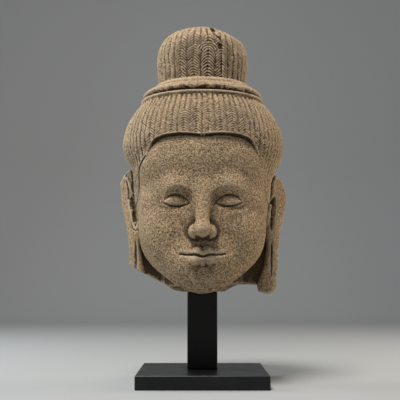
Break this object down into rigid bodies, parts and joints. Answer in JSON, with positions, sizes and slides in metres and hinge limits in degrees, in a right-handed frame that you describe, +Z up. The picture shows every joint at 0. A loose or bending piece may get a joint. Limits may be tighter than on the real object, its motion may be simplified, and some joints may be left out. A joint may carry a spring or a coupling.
{
  "type": "stone deity head on a stand",
  "caption": "Carved sandstone deity head with plaited hair, a topknot and long ear lobes, held up by a square post on a square base plate.",
  "frame": {"origin": "centre of the base plate's underside", "axes": "+Z up, the face looks along -Y, +X is on the right of someone who faces it"},
  "size_m": [0.2105, 0.2184, 0.4288],
  "materials": {
    "sandstone": "grainy carved sandstone, matt and weathered",
    "blackened_steel": "blackened steel with a soft sheen"
  },
  "bodies": {
    "root": {"stone_head": "sandstone", "stand_post": "blackened_steel", "stand_base": "blackened_steel"}
  },
  "joints": []
}
